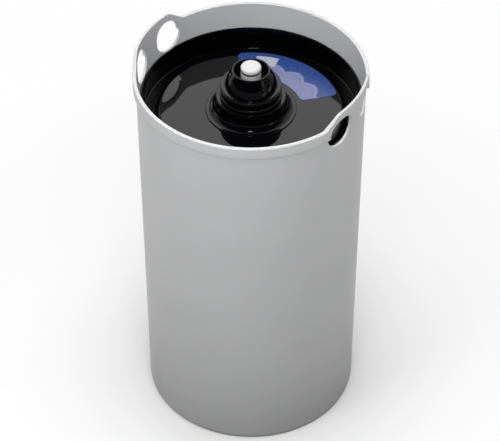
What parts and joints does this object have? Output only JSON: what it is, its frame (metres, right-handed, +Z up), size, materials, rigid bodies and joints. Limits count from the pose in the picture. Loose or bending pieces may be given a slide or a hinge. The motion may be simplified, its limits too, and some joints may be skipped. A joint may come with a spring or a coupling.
{
  "type": "water filter cartridge",
  "caption": "Replaceable water filter cartridge: drafted cup with lug handles, pressed-in lid, stepped connection neck with a sprung shut-off pin, and a layered filter bed.",
  "frame": {"origin": "centre of the cup's foot, on the surface it stands on", "axes": "+Z up along the cartridge towards the neck; the two lug handles are on +X and -X"},
  "size_m": [0.213, 0.213, 0.3856],
  "materials": {
    "cup_grey": "satin light grey moulded plastic",
    "lid_black": "polished black moulded plastic",
    "neck_black": "polished black moulded plastic",
    "seal_rubber": "greased black sealing rubber",
    "pin_white": "white moulded plastic",
    "spring_steel": "drawn stainless wire",
    "valve_grey": "dark moulded plastic",
    "riser_white": "extruded natural plastic",
    "strainer_white": "moulded natural plastic",
    "foam_black": "open-cell foam",
    "fleece_white": "needled fleece",
    "resin_amber": "fine resin beads",
    "carbon_black": "fine carbon granules",
    "film_print": "printed film in two blues"
  },
  "bodies": {
    "cartridge": {"container_shell": "cup_grey", "lid_pan": "lid_black", "lid_seal_ring": "seal_rubber", "neck_spigot": "neck_black", "neck_seal_upper": "seal_rubber", "neck_seal_lower": "seal_rubber", "neck_gasket": "seal_rubber", "neck_lock_nut": "neck_black", "valve_guide": "valve_grey", "plunger_spring": "spring_steel", "riser_coupling": "valve_grey", "riser_seal_ring": "seal_rubber", "riser_tube": "riser_white", "upper_strainer": "strainer_white", "lower_strainer": "strainer_white", "strainer_cap": "strainer_white", "compression_foam": "foam_black", "top_fleece": "fleece_white", "resin_bed": "resin_amber", "middle_fleece": "fleece_white", "carbon_bed": "carbon_black", "bottom_fleece": "fleece_white", "label_film": "film_print"},
    "plunger": {"valve_plunger": "pin_white", "plunger_seal_ring": "seal_rubber", "valve_seal_washer": "seal_rubber"}
  },
  "joints": [
    {"name": "plunger_slide", "type": "slide", "parent": "cartridge", "child": "plunger", "axis": [0, 0, -1], "range_m": [0, 0.005], "stiffness_N_per_m": 2000, "springref_m": -0.005, "deforming": ["plunger_spring"]}
  ]
}
